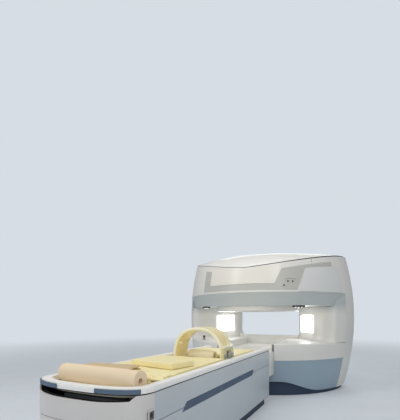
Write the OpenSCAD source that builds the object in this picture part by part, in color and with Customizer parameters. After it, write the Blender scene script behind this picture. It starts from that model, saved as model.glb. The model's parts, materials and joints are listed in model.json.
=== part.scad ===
// Open magnetic resonance scanner with its docked patient table.
// Origin: on the floor under the centre of the magnet gap. X to the right,
// Y from the foot of the table into the gantry, Z up. All lengths in mm.

/* [Gantry outline] */
// Half of the gantry's greatest width
half_width = 1280; // [1180:10:1380]
// Distance of the widest point behind the magnet centre
widest_y = 620; // [560:10:680]
// Depth of the bowed front, from the widest point
front_depth = 1280; // [1230:10:1340]
// Depth of the flat back, from the widest point
rear_depth = 280; // [250:5:320]
// Roundness of the bowed front, 2 is an ellipse
front_power = 1.8; // [1.7:0.05:2.1]
// Roundness of the back corners
rear_power = 3; // [2.6:0.1:3.6]
// Height of the belly, where the barrel is widest
belly_z = 1000; // [900:10:1100]
// How far the barrel draws in, one metre above or below the belly
barrel_depth = 150; // [100:5:180]

/* [Gantry heights] */
// Top of the domed cover
crown_z = 1940; // [1930:5:2050]
// Seam under the domed cover at the middle of the front
brow_z = 1668; // [1645:1:1690]
// Rise of that seam from the middle to the sides
brow_rise = 220; // [180:5:240]
// Lower edge of the upper fascia
fascia_z = 1342; // [1320:1:1380]
// Ceiling of the gap around the upper pole
ceiling_z = 1170; // [1160:2:1200]
// Underside of the upper pole cover
pole_z = 1100; // [1090:2:1120]
// Deck around the lower pole
deck_z = 680; // [670:1:700]
// Floor of the channel that the tabletop runs in
channel_z = 587; // [575:1:590]
// Seam between lower fascia and skirt
skirt_z = 467; // [430:1:500]
// Height of the dark plinth under the middle of the skirt
plinth_z = 190; // [150:5:210]
// Clearance of the covers over the floor
floor_gap = 50; // [40:1:60]

/* [Gantry covers] */
// Wall of the moulded covers
cover_wall = 10; // [6:1:12]
// How far the upper housing leans in under its fascia
chamfer_in = 50; // [44:1:60]
// Angle of the side shells' front edges, from the widest point
side_angle = 20; // [14:1:24]
// Angle of the side shells' rear edges, from the widest point
rear_angle = 35; // [30:1:40]
// How far the round pole cover stays inside the front outline
pole_in = 70; // [66:1:110]
// Half of the opening at the back
rear_half = 494; // [470:2:520]
// How far the columns stand back under the fascia
column_in = 24; // [20:2:50]
// Width of a lit panel
light_w = 320; // [280:5:330]
// Height of a lit panel
light_h = 250; // [200:5:300]
// Middle height of a lit panel
light_z = 920; // [860:5:980]
// Half of the docking cover's width
dock_half = 385; // [375:1:390]

/* [Magnet] */
// Thickness of a yoke plate
yoke_t = 290; // [240:5:300]
// Inset of the yoke plates from the outline
yoke_in = 190; // [160:5:240]
// Thickness of a magnet disc
magnet_t = 140; // [110:5:150]
// How far the magnet discs stay inside the front outline
magnet_in = 160; // [150:5:200]
// Thickness of a pole piece
pole_t = 70; // [50:2:74]
// Depth of the round pocket in a pole piece
pole_pocket = 30; // [20:1:40]
// Thickness of a gradient coil
gradient_t = 50; // [40:1:56]
// How far the gradient coils stay inside the pole pieces
gradient_in = 45; // [35:1:80]
// Thickness of a transmit coil plate
rf_t = 24; // [16:1:26]
// Height of the levelling feet
foot_h = 30; // [20:1:36]

/* [Table] */
// Half of the table's width
table_half = 400; // [380:2:420]
// Corner of the table's foot end
foot_y = -3345; // [-3450:5:-3300]
// How far the foot end bows out between its corners
foot_bow = 65; // [40:5:100]
// End of the table at the gantry
head_y = -840; // [-880:2:-820]
// Top of the white rim
rim_z = 658; // [650:1:660]
// Height of the white rim
rim_h = 36; // [30:1:40]
// Width of the white rim
rim_w = 58; // [50:1:70]
// Seam between the moving tub and the fixed skirt
tub_z = 465; // [450:1:480]
// Clearance of the table skirt over the floor
toe_z = 100; // [80:2:120]
// Wall of the table panels
panel_wall = 8; // [5:1:10]
// Height that the table can rise
lift_travel = 80; // [60:5:85]
// Distance that the tabletop slides into the gap
slide_travel = 1300; // [900:10:1300]

/* [Tabletop] */
// Half of the tabletop's width
cradle_half = 338; // [320:1:340]
// Underside of the tabletop
cradle_z = 598; // [596:1:600]
// Thickness of the tabletop
cradle_t = 20; // [16:1:26]
// Head end of the tabletop
tabletop_end = -700; // [-720:5:-680]
// Thickness of the long pad
pad_t = 50; // [30:1:54]

/* [Receive coil] */
// Half of the coil arch's outer width
coil_half = 250; // [230:5:255]
// Outer height of the coil arch over the tabletop
coil_h = 312; // [280:2:330]
// Length of the coil arch along the table
coil_len = 240; // [200:5:260]
// Wall of the coil arch
coil_wall = 30; // [24:1:36]
// Middle of the coil along the table
coil_y = -1930; // [-2100:10:-1900]
// Middle of the coil arch across the table
coil_x = 55; // [40:1:60]

/* [Loose pieces] */
// Radius of the round cushion
roll_r = 48; // [36:1:48]
// Length of the round cushion
roll_len = 330; // [280:5:340]
// Length of the foam block across the table
block_len = 420; // [360:5:440]
// Width of the foam block along the table
block_w = 250; // [200:5:300]
// Thickness of the foam block
block_t = 44; // [30:1:60]
// Length of the folded pad across the table
fold_len = 400; // [300:5:420]
// Width of the folded pad along the table
fold_w = 170; // [120:5:180]
// Thickness of one layer of the folded pad
fold_t = 20; // [12:1:24]
// Radius of the paper roll
paper_r = 58; // [45:1:60]
// Length of the paper roll
paper_len = 620; // [400:10:640]
// Radius of the hole through the paper roll
paper_core = 17; // [12:1:24]

/* [Hidden] */
// Gap between covers that meet
seam = 0.6;
// Gap between the columns and the housing above them
soffit_gap = 3;
// Gap between the lifting tub and the fixed skirt of the table
lift_seam = 4;
// Running gap of columns, rails and runners
guide_gap = 0.5;
// Clearance of faces that lie on each other
fit = 0.3;
// Clearance between pieces that move past each other
slip = 3;
// Seat and proud height of plates on the fascia
plate_seat = 1.3;
plate_proud = 6;

// Magnet stack, worked out from the outline and the pole covers
front_y = widest_y - front_depth;
magnet_r = -front_y - magnet_in;
gradient_r = magnet_r - gradient_in;
lower_yoke_z = foot_h;
lower_magnet_z = lower_yoke_z + yoke_t;
lower_pole_z = lower_magnet_z + magnet_t;
lower_gradient_z = lower_pole_z + pole_t - pole_pocket;
lower_rf_z = lower_gradient_z + gradient_t;
upper_rf_top = pole_z + cover_wall + rf_t;
upper_gradient_top = upper_rf_top + gradient_t;
upper_pole_z = upper_gradient_top - pole_pocket;
upper_magnet_z = upper_pole_z + pole_t;
upper_yoke_z = upper_magnet_z + magnet_t;

// A power that keeps the sign of its base
function signed_pow(v, e) = sign(v) * pow(abs(v), e);
// How far the barrel draws in at height z
function barrel(z) = barrel_depth * pow((z - belly_z) / 1000, 2);
// Point of the outline at angle t, moved in by d
function rim(t, d) =
    let (s = sin(t), n = s < 0 ? front_power : rear_power, b = s < 0 ? front_depth : rear_depth)
    [(half_width - d) * signed_pow(cos(t), 2 / n), widest_y + (b - d) * signed_pow(s, 2 / n)];
// Point of the barrel surface at angle t and height z, moved in by d
function skin_at(t, z, d = 0) = let (p = rim(t, barrel(z) + d)) [p.x, p.y, z];
// Height of the brow seam at angle t
function brow(t) =
    brow_z + brow_rise * (sin(t) < 0 ? pow(abs(rim(t, 0).x) / half_width, 1.4) : 1);
// A smooth step from 0 to 1
function smooth(v) = let (u = min(1, max(0, v))) u * u * (3 - 2 * u);
// Lower edge of the skirt: high in the middle, low towards the sides
function skirt_edge(t) =
    plinth_z - (plinth_z - floor_gap) * smooth((abs(rim(t, 0).x) - 480) / 520);
// Quadratic curve from a to c, drawn towards b
function bend(a, b, c, n) =
    [for (i = [0 : n]) let (s = i / n) (1 - s) * (1 - s) * a + 2 * s * (1 - s) * b + s * s * c];
// Even steps from a to b
function steps(a, b, n) = [for (i = [0 : n]) a + (b - a) * i / n];
// Points of a path moved sideways by d, a number or one for each point, to the right of its direction
function beside(pts, d) = [for (i = [0 : len(pts) - 1])
    let (v = pts[min(i + 1, len(pts) - 1)] - pts[max(i - 1, 0)])
    pts[i] + (is_list(d) ? d[i] : d) * [v.y, -v.x] / norm(v)];
function reversed(v) = [for (i = [len(v) - 1 : -1 : 0]) v[i]];

// A closed skin over rings of points, each ring anticlockwise seen from the last.
// A ring is one face of a wall and its other face folded back, so a cap is a strip between them.
module loft(rings) {
    n = len(rings[0]);
    last = (len(rings) - 1) * n;
    strip = [for (j = [0 : n / 2 - 2]) each [[j, j + 1, n - 2 - j], [j, n - 2 - j, n - 1 - j]]];
    sides = [for (i = [0 : len(rings) - 2], j = [0 : n - 1])
        let (a = i * n + j, b = i * n + (j + 1) % n)
        each [[a, a + n, b + n], [a, b + n, b]]];
    polyhedron(
        points = [for (r = rings) each r],
        faces = concat(strip, sides, [for (f = strip) [for (i = [2, 1, 0]) last + f[i]]]));
}

// A moulded wall that follows the barrel: profile(t) gives [inset, height] pairs from the bottom up
module barrel_wall(angles, profile, wall = cover_wall) {
    loft([for (t = angles) let (outer = profile(t)) concat(
        [for (p = outer) skin_at(t, p[1], p[0] + wall)],
        [for (p = reversed(outer)) skin_at(t, p[1], p[0])])]);
}

// The outline as a plan area, moved in by d
module plan(d) {
    polygon([for (t = [0 : 3.75 : 359]) rim(t, d)]);
}

front_angles = steps(180 + side_angle, 360 - side_angle, 44);
// Angle at which the front of the outline reaches x
function front_angle(x) = 270 + sign(x) * asin(pow(abs(x) / half_width, front_power / 2));

// Place of the outline's front at x
function outline_y(x) = rim(front_angle(x), 0).y;
// Plan of the right column: front nose, slanted inner face and back
nose_x = half_width - 275;
column_nose = [nose_x, outline_y(nose_x) + 82];
face_front = [half_width - 505, widest_y - 356];
face_rear = [rear_half + 49, widest_y - 74];
column_corner = [rear_half, widest_y - 15];
column_rear_in = 50;
function column_path(z) =
    let (d = barrel(z), back = rim(74, d + column_rear_in))
    concat(
        [for (t = steps(-side_angle - 0.06, -28, 4))
            rim(t, d + column_in * smooth((-t - side_angle) / (28 - side_angle)))],
        bend(rim(-29, d + column_in), column_nose, face_front, 6),
        bend(face_rear, column_corner, [rear_half, column_corner.y + 65], 3),
        bend([rear_half, back.y - 60], [rear_half, back.y], back, 3),
        [for (t = steps(66, rear_angle, 3)) rim(t, d + column_rear_in - 15)]);
// How far a plan point lies inside the outline
function inset_of(p) =
    let (q = pow(abs(p.x) / half_width, front_power) + pow(abs(p.y - widest_y) / front_depth, front_power))
    p.y > widest_y ? chamfer_in + 60 : (1 - pow(q, 1 / front_power)) * half_width;
chamfer = [[chamfer_in, ceiling_z], [0.94 * chamfer_in, ceiling_z + 12], [0.76 * chamfer_in, ceiling_z + 55],
    [0.4 * chamfer_in, ceiling_z + 115], [0, fascia_z]];
// Underside of the upper housing over a plan point at the ceiling's height
function soffit(p) = let (d = inset_of(p) - barrel(ceiling_z)) d > 0.6 * chamfer_in ? ceiling_z - soffit_gap
    : lookup(d + 2, [for (c = reversed(chamfer)) [c[0], c[1]]]) - soffit_gap;
flare_h = 50;
flare_out = 14;
module column_cover() {
    levels = [deck_z + seam, deck_z + 18, deck_z + flare_h, 820, 940, 1060, ceiling_z - 30];
    // The foot of the column flares a little, so that it flows into the deck
    function flare(z, n) = [for (i = [0 : n - 1])
        -flare_out * pow(max(0, (deck_z + flare_h - z) / flare_h), 2) * smooth(i / 5)];
    function wall_ring(outer, heights) =
        let (path = concat(outer, reversed(beside(outer, cover_wall))), n = len(path))
        [for (i = [n - 1 : -1 : 0]) [path[i].x, path[i].y, heights[i]]];
    function ring(z) = let (path = column_path(z)) wall_ring(beside(path, flare(z, len(path))),
        [for (i = [1 : 2 * len(path)]) z]);
    // The top follows the underside of the housing, and leans in with the barrel
    base = column_path(ceiling_z);
    heights = [for (p = concat(base, reversed(beside(base, cover_wall)))) soffit(p)];
    top = [for (i = [0 : len(base) - 1]) column_path(heights[i])[i]];
    loft(concat([for (z = levels) ring(z)], [wall_ring(top, heights)]));
}

// Plan of the right yoke post, grown by g
module post_plan(g = 0) {
    // Distances of its corners from the side and from the widest point
    polygon([[half_width - 410 - g, widest_y - 370 - g], [half_width - 210 + g, widest_y - 370 - g],
        [half_width - 170 + g, widest_y - 140], [half_width - 200 + g, widest_y + 70 + g],
        [rear_half + 116 - g, widest_y + 130 + g], [rear_half + 116 - g, widest_y - g]]);
}
module both_posts(g) {
    post_plan(g);
    mirror([1, 0]) post_plan(g);
}

// Feet, plinth and the steel of the magnet
module levelling_feet() {
    side = half_width - 460;
    places = concat([[0, 0], [0, front_y + 280]],
        [for (x = [-side, side], y = [widest_y - 290, widest_y - 20]) [x, y]]);
    color("dimgray") for (p = places) translate([p.x, p.y, 0]) {
        cylinder(h = 12, r = 60);
        translate([0, 0, 12]) cylinder(h = foot_h - 12, r = 22);
    }
}
module floor_plinth() {
    color("slategray") difference() {
        linear_extrude(plinth_z - 20) plan(barrel(0) + 26);
        translate([0, 0, -1]) linear_extrude(plinth_z) plan(yoke_in - 2 * fit);
    }
}
module yoke_plate(z) {
    translate([0, 0, z]) linear_extrude(yoke_t) plan(yoke_in);
}
module lower_yoke_plate() { color("gray") yoke_plate(lower_yoke_z); }
module upper_yoke_plate() { color("gray") yoke_plate(upper_yoke_z); }
module yoke_post() {
    translate([0, 0, lower_magnet_z]) linear_extrude(upper_yoke_z - lower_magnet_z) post_plan();
}
module yoke_posts() {
    color("gray") {
        yoke_post();
        mirror([1, 0, 0]) yoke_post();
    }
}
module magnet_discs() {
    color("darkgray") for (z = [lower_magnet_z, upper_magnet_z])
        translate([0, 0, z]) cylinder(h = magnet_t, r = magnet_r);
}
// A pole piece is a plate with a raised rim that shims the field
module pole_piece() {
    difference() {
        cylinder(h = pole_t, r = magnet_r);
        translate([0, 0, pole_t - pole_pocket]) cylinder(h = pole_pocket + 1, r = gradient_r + 5);
    }
}
module pole_pieces() {
    color("silver") {
        translate([0, 0, lower_pole_z]) pole_piece();
        translate([0, 0, upper_pole_z + pole_t]) mirror([0, 0, 1]) pole_piece();
    }
}
module gradient_coils() {
    color("goldenrod") for (z = [lower_gradient_z, upper_rf_top])
        translate([0, 0, z]) cylinder(h = gradient_t, r = gradient_r);
}
// Transmit coil: a plate with a wound groove
module rf_plate() {
    difference() {
        cylinder(h = rf_t, r = gradient_r - 15);
        for (r = [120, 240, 360]) translate([0, 0, rf_t - 6]) difference() {
            cylinder(h = 7, r = r + 10);
            translate([0, 0, -1]) cylinder(h = 9, r = r - 10);
        }
    }
}
module rf_coils() {
    color("peru") {
        translate([0, 0, lower_rf_z]) rf_plate();
        translate([0, 0, upper_rf_top]) mirror([0, 0, 1]) rf_plate();
    }
}

// Deck over the lower pole, with the channel for the tabletop
deck_lip = 22;
deck_in = barrel(deck_z) + deck_lip + cover_wall + 2 * fit;
channel_half = cradle_half + 14;
channel_end = tabletop_end + slide_travel + 25;
// Raised sill between the columns at the back, rounded into them
sill_y = widest_y + 44;
sill_h = 42;
sill_round = 50;
module rear_sill() {
    half = rear_half - seam;
    intersection() {
        translate([0, widest_y + rear_depth, deck_z - fit]) rotate([90, 0, 0])
            linear_extrude(widest_y + rear_depth - sill_y) polygon(concat(
            // Its ends keep clear of the columns' flared feet
            [[-half + flare_out + 1, 0], [half - flare_out - 1, 0]],
            [[half - flare_out / 2, 18], [half, flare_h + 4]],
            bend([half, sill_h + sill_round], [half, sill_h], [half - sill_round, sill_h], 5),
            bend([-half + sill_round, sill_h], [-half, sill_h], [-half, sill_h + sill_round], 5),
            [[-half, flare_h + 4], [-half + flare_out / 2, 18]]));
        linear_extrude(ceiling_z) plan(deck_in);
    }
}
module lower_deck() {
    color("whitesmoke") difference() {
        union() {
            rear_sill();
            translate([0, 0, deck_z - cover_wall]) linear_extrude(cover_wall) plan(deck_in);
            translate([0, 0, channel_z - cover_wall]) linear_extrude(deck_z - channel_z + cover_wall)
                intersection() {
                    plan(deck_in);
                    translate([-channel_half - cover_wall, -front_depth])
                        square([2 * (channel_half + cover_wall), front_depth + channel_end + cover_wall]);
                }
        }
        translate([-channel_half, -front_depth, channel_z])
            cube([2 * channel_half, front_depth + channel_end, deck_z]);
        translate([0, 0, channel_z - cover_wall - 1]) linear_extrude(deck_z) both_posts(slip);
    }
}
pole_rim = -front_y - pole_in;
module upper_pole_cover() {
    color("white") translate([0, 0, pole_z]) rotate_extrude($fn = 96) difference() {
        union() {
            translate([0, 14]) square([pole_rim - fit, ceiling_z - pole_z - 4]);
            square([pole_rim - 14, 20]);
            translate([pole_rim - 14 - fit, 14]) circle(r = 14, $fn = 48);
        }
        translate([-1, cover_wall]) square([pole_rim - cover_wall + 1, ceiling_z]);
        translate([-pole_rim, -1]) square([pole_rim, ceiling_z]);
    }
}
module upper_ceiling() {
    front_in = barrel(ceiling_z) + chamfer_in + cover_wall + fit;
    color("gainsboro") translate([0, 0, ceiling_z]) linear_extrude(cover_wall) difference() {
        union() {
            plan(front_in);
            intersection() {
                plan(barrel(ceiling_z + cover_wall) + cover_wall + seam);
                translate([-half_width + 180, widest_y - 300]) square([2 * (half_width - 180), 700]);
            }
        }
        circle(r = pole_rim, $fn = 96);
        both_posts(slip);
    }
}
module upper_chamfer() {
    color("gainsboro") barrel_wall(front_angles, function (t) [for (c = chamfer) [c[0], c[1] - seam]]);
}
module right_column_cover() { color("white") column_cover(); }
module left_column_cover() {
    color("white") mirror([1, 0, 0]) column_cover();
}
// A lit panel lies on the slanted inner face of its column
face_dir = (face_front - face_rear) / norm(face_front - face_rear);
module light_panel() {
    middle = face_rear + face_dir * (light_w / 2 + 6);
    translate([middle.x, middle.y, light_z]) rotate([0, 0, atan2(face_dir.y, face_dir.x)])
        translate([0, -fit, 0]) difference() {
            translate([-light_w / 2, -8, -light_h / 2]) cube([light_w, 8, light_h]);
            translate([-light_w / 2 + 8, -9, -light_h / 2 + 8]) cube([light_w - 16, 4, light_h - 16]);
        }
}
module light_panels() {
    color("white") {
        light_panel();
        mirror([1, 0, 0]) light_panel();
    }
}

module upper_front_shell() {
    color("whitesmoke") barrel_wall(front_angles, function (t)
        [for (z = steps(fascia_z, brow(t) - seam, 4)) [0, z]]);
}
// Lower fascia, left and right of the docking cover, with a rounded top lip
lip_profile = [[0, skirt_z + seam], [0, 560], [0, deck_z - 40],
    [0.3 * deck_lip, deck_z - 12], [deck_lip, deck_z]];
module right_lower_fascia() {
    last = 360 - side_angle - 0.1;
    // Point p of the profile, at share u of the way from the docking cover to the side
    function fascia_at(u, p, d) = let (
        reach = half_width - barrel(p[1]) - p[0] - d,
        first = front_angle((dock_half + seam) * half_width / reach))
        skin_at(first + (last - first) * u, p[1], p[0] + d);
    color("white") loft([for (u = steps(0, 1, 20)) concat(
        [for (p = lip_profile) fascia_at(u, p, cover_wall)],
        [for (p = reversed(lip_profile)) fascia_at(u, p, 0)])]);
}
module left_lower_fascia() { color("white") mirror([1, 0, 0]) right_lower_fascia(); }
module lower_skirt() {
    color("lightgray") barrel_wall(front_angles, function (t)
        [for (z = steps(skirt_edge(t), skirt_z, 4)) [8, z]]);
}
module side_shell() {
    heights = [floor_gap, 200, 400, 600, 800, 1000, 1200, 1400, 1600, 1750];
    color("white") barrel_wall(steps(-side_angle + 0.1, rear_angle - 0.1, 9), function (t)
        concat([for (z = heights) [0, z]], [[0, brow(t) - seam]]));
}
module right_side_shell() { side_shell(); }
module left_side_shell() { mirror([1, 0, 0]) side_shell(); }
module rear_upper_cover() {
    color("white") barrel_wall(steps(rear_angle, 180 - rear_angle, 22), function (t)
        [for (z = steps(ceiling_z, brow(t) - seam, 5)) [0, z]]);
}
module rear_lower_cover() {
    color("white") barrel_wall(steps(rear_angle, 180 - rear_angle, 22), function (t)
        concat([for (z = steps(floor_gap, deck_z - 40, 4)) [0, z]],
            [[0.3 * deck_lip, deck_z - 12], [deck_lip, deck_z]]));
}
// Domed top: dips to the brow in front, flat towards the crown
crown_y = widest_y - 440;
module top_cover() {
    shares = [1, 0.985, 0.94, 0.86, 0.72, 0.5, 0.25];
    turns = [for (t = [0 : 5 : 359]) t];
    function dome(t, f, drop) =
        let (edge = rim(t, barrel(brow(t)) + (drop > 0 ? cover_wall : 0)), mid = [0, crown_y])
        [mid.x + f * (edge.x - mid.x), mid.y + f * (edge.y - mid.y),
            brow(t) + (crown_z - brow(t)) * pow(1 - pow(f, 2.4), 0.8) - drop * (f < 1 ? 1 : 0)];
    n = len(turns);
    m = len(shares);
    outer = [for (f = shares) each [for (t = turns) dome(t, f, 0)]];
    inner = [for (f = shares) each [for (t = turns) dome(t, f, cover_wall)]];
    base = n * m;
    function quad(a, b, c, d) = [[a, b, c], [a, c, d]];
    faces = concat(
        [for (k = [0 : m - 2], j = [0 : n - 1]) let (a = k * n + j, b = k * n + (j + 1) % n)
            each quad(a, a + n, b + n, b)],
        [for (k = [0 : m - 2], j = [0 : n - 1]) let (a = base + k * n + j, b = base + k * n + (j + 1) % n)
            each quad(a, b, b + n, a + n)],
        [for (j = [0 : n - 1]) each quad(j, (j + 1) % n, base + (j + 1) % n, base + j)],
        [for (j = [0 : n - 1]) [2 * base, base - n + (j + 1) % n, base - n + j]],
        [for (j = [0 : n - 1]) [2 * base + 1, 2 * base - n + j, 2 * base - n + (j + 1) % n]]);
    color("white") polyhedron(
        points = concat(outer, inner, [[0, crown_y, crown_z], [0, crown_y, crown_z - cover_wall]]),
        faces = faces);
}

// Plates that lie on the upper fascia: stations are [x, lower height, upper height]
module fascia_patch(stations, proud) {
    loft([for (s = stations) let (t = front_angle(s[0]), zs = steps(s[1], s[2], 3)) concat(
        [for (z = zs) skin_at(t, z, -plate_seat)],
        [for (z = reversed(zs)) skin_at(t, z, -proud)])]);
}
raised_end = half_width - 120;
function brow_at(x) = brow(front_angle(x));
// Height of the inlay's top edge and of the raised panel's top edge at x
function inlay_top(x) = brow_at(x) - 80;
function raised_top(x) = fascia_z + 309 + 0.15 * (abs(x) - 768);
module fascia_inlay() {
    low = fascia_z + inlay_low;
    high = fascia_z + inlay_high;
    color("silver") fascia_patch(concat(
        [for (x = [-668, -625, -585, -545]) [x, low, inlay_top(x)]],
        [for (x = [-540 : 47 : 400]) [x, low, high]],
        [for (x = [410, 425, 455, 490]) [x, low, high + (inlay_top(490) - high) * (x - 400) / 90]],
        [for (x = [525, 560, 595, 630, 664]) [x, low, inlay_top(x)]],
        [for (x = [700, 730, 762]) [x, low + (raised_top(768) - low) * (x - 664) / 98, inlay_top(x)]],
        [for (x = steps(800, raised_end - 80, 7)) [x, raised_top(x) + 2,
            min(inlay_top(x), raised_top(x) + 76)]]), inlay_proud);
}
module name_panel() {
    low = fascia_z + inlay_high + 4;
    color("ivory") fascia_patch(concat(
        [for (x = [-536 : 39 : 400]) [x, low, brow_at(x) - 12]],
        [for (x = [414, 432, 455, 483]) [x, low + (inlay_top(483) - low) * (x - 400) / 83, brow_at(x) - 12]]),
        plate_proud);
}
module right_raised_panel() {
    base = fascia_z + 6;
    color("white") fascia_patch(concat(
        [for (x = [676, 700, 730, 768]) [x, base, base + 20 + (raised_top(768) - base - 20) * (x - 676) / 92]],
        [for (x = steps(800, raised_end, 12)) [x, base, raised_top(x) - max(0, x - raised_end + 50)]]),
        plate_proud + 4);
}
inlay_low = 27;
inlay_high = 104;
// A round piece on the fascia at x and z, standing out from the inlay
module on_fascia(x, z, out) {
    t = front_angle(x);
    p = skin_at(t, z, -out);
    q = rim(t + 0.5, 0) - rim(t - 0.5, 0);
    // The barrel leans in above its belly, and the piece with it
    lean = atan(2 * barrel_depth * (z - belly_z) / 1000 / 1000);
    translate(p) rotate([0, 0, atan2(q.y, q.x)]) rotate([90 - lean, 0, 0]) children();
}
inlay_proud = plate_seat + 2;
// Short stroke of the keys over the inlay
key_gap = 0.65;
module fascia_button(x, z) {
    color("dimgray") on_fascia(x, z, inlay_proud + key_gap) {
        cylinder(h = 4, r = 12, $fn = 48);
        translate([0, 0, 4]) cylinder(h = 3, r1 = 12, r2 = 9, $fn = 48);
    }
}
button_places = [[512, 1425], [557, 1477], [612, 1475]];
module light_button() { fascia_button(button_places[0][0], button_places[0][1]); }
module fan_button() { fascia_button(button_places[1][0], button_places[1][1]); }
module table_button() { fascia_button(button_places[2][0], button_places[2][1]); }
dock_z = 300;
module dock_cover() {
    front = head_y + seam;
    back = rim(270, deck_in).y + 70;
    top = channel_z - 1;
    color("white") difference() {
        translate([-dock_half, front, dock_z]) cube([2 * dock_half, back - front, top - dock_z]);
        translate([-dock_half + cover_wall, front + cover_wall, dock_z - 1])
            cube([2 * (dock_half - cover_wall), back - front, top - dock_z - cover_wall + 1]);
        // The cover's back edge follows the deck and the skirt
        linear_extrude(deck_z) plan(deck_in - fit);
    }
}
// Stop button on the deck before the left column: a collar, and the button that travels in it
stop_x = half_width - 517;
stop_place = [-stop_x, outline_y(stop_x) + 166];
stop_r = 18;
stem_r = 12;
collar_h = 30;
module on_deck() { translate([stop_place.x, stop_place.y, deck_z + fit]) children(); }
module stop_ring() {
    color("gray") on_deck() difference() {
        cylinder(h = collar_h, r = stop_r + 5, $fn = 48);
        translate([0, 0, 4]) cylinder(h = collar_h, r = stem_r + 2 * fit, $fn = 48);
    }
}
module stop_button() {
    color("dimgray") on_deck() {
        translate([0, 0, 12]) cylinder(h = collar_h - 3, r = stem_r, $fn = 48);
        translate([0, 0, collar_h + 8]) cylinder(h = 18, r = stop_r, $fn = 48);
        translate([0, 0, collar_h + 26]) cylinder(h = 6, r1 = stop_r, r2 = stop_r - 6, $fn = 48);
    }
}

// Patient table
// Curve of the foot end, moved in by d
foot_corner = 120;
beam_w = 60;
foot_power = 2.6;
function foot_curve(d, proud = 0) = [for (t = [180 : 7.5 : 360])
    [(table_half - d) * signed_pow(cos(t), 2 / foot_power),
        foot_y + foot_corner + (foot_bow + foot_corner + proud - d) * signed_pow(sin(t), 2 / foot_power)]];
module table_plan(d, proud = 0) {
    polygon(concat(foot_curve(d, proud), [[table_half - d, head_y - d], [-table_half + d, head_y - d]]));
}
module table_ring(outer, inner, z0, z1, proud = 0) {
    translate([0, 0, z0]) linear_extrude(z1 - z0) difference() {
        table_plan(outer, proud);
        table_plan(inner, proud);
    }
}
// The foot covers bow out further than the rim above them
foot_proud = 16;
// Seam between the side panels and the wrapped foot covers
panel_y = foot_y + 112;
// Part of the table on the foot's side, or between foot and head on one side
module foot_part() {
    translate([-600, panel_y - 600, 0]) cube([1200, 600 - seam, 1000]);
}
module side_part() {
    translate([table_half - 40, panel_y, 0]) cube([80, head_y - panel_y + 1, 1000]);
}
// Dark recessed stripe along the side seam, with slanted ends
stripe_y = [foot_y + 405, head_y - 620];
stripe_z = [438, 490];
stripe_slant = 70;
// Its head end is upright over the seam, so that the tub can rise past it
module stripe_outline(g) {
    polygon([[stripe_y[0] - 2 * g, stripe_z[0] - g], [stripe_y[1] - 30 + g, stripe_z[0] - g],
        [stripe_y[1] + g, tub_z - lift_seam - 1], [stripe_y[1] + g, stripe_z[1] + g],
        [stripe_y[0] + stripe_slant - 2 * g, stripe_z[1] + g]]);
}
// The outline stands in the plane of the table's side
module stripe_block(x0, x1, g) {
    translate([x0, 0, 0]) rotate([90, 0, 90]) linear_extrude(x1 - x0) stripe_outline(g);
}
module skirt_panel() {
    difference() {
        intersection() {
            table_ring(0, panel_wall, toe_z, tub_z - lift_seam);
            side_part();
        }
        stripe_block(table_half - 30, table_half + 10, fit);
    }
    // Ribs that stand the panel off the toe kick
    for (y = steps(foot_y + 345, head_y - 360, 2)) translate([table_half - toe_in + fit, y, toe_z])
        cube([toe_in - panel_wall, 12, 40]);
}
module skirt_panels() {
    color("lightgray") {
        skirt_panel();
        mirror([1, 0, 0]) skirt_panel();
    }
}
module lower_foot_cover() {
    color("lightgray") intersection() {
        table_ring(0, panel_wall, toe_z, tub_z - lift_seam, foot_proud);
        foot_part();
    }
}
module side_stripe() { stripe_block(table_half - 11, table_half - 5, 0); }
module side_stripes() {
    color("steelblue") {
        side_stripe();
        mirror([1, 0, 0]) side_stripe();
    }
}
// Moving upper tub
seal_z = rim_z - rim_h;
module tub_panel() {
    difference() {
        intersection() {
            table_ring(0, panel_wall, tub_z, seal_z - seam);
            side_part();
        }
        stripe_block(table_half - 30, table_half + 10, slip);
    }
}
module tub_panels() {
    color("gainsboro") {
        tub_panel();
        mirror([1, 0, 0]) tub_panel();
    }
}
// The foot cover dips in its middle, so that fingers reach under the rim
slot_h = 36;
module slot_dip() {
    translate([0, panel_y, seal_z - slot_h]) rotate([90, 0, 0]) linear_extrude(600) polygon([
        [-table_half + 40, slot_h + 1], [-table_half + 70, 8], [-160, 0], [160, 0],
        [table_half - 70, 8], [table_half - 40, slot_h + 1]]);
}
// Square socket on the right of the foot end, with a round recess
socket_w = 46;
socket_t = 12;
socket_r = 14;
socket_depth = 9;
socket_y = foot_y + 80;
socket_z = 508;
module upper_foot_cover() {
    color("gainsboro") difference() {
        intersection() {
            table_ring(0, panel_wall, tub_z, seal_z - seam, foot_proud);
            foot_part();
        }
        slot_dip();
        translate([table_half - 30, socket_y - socket_w / 2, socket_z - socket_w / 2])
            cube([80, socket_w, socket_w]);
    }
}
module side_socket() {
    w = socket_w - 2 * fit;
    color("gray") translate([table_half - 1 - socket_t, socket_y, socket_z]) difference() {
        translate([0, -w / 2, -w / 2]) cube([socket_t, w, w]);
        translate([socket_t - socket_depth, 0, 0]) rotate([0, 90, 0])
            cylinder(h = socket_t, r = socket_r, $fn = 48);
    }
}
// Liner of the tub: runs behind the fixed skirt as the table rises
liner_z = tub_z - lift_travel - 50;
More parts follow.
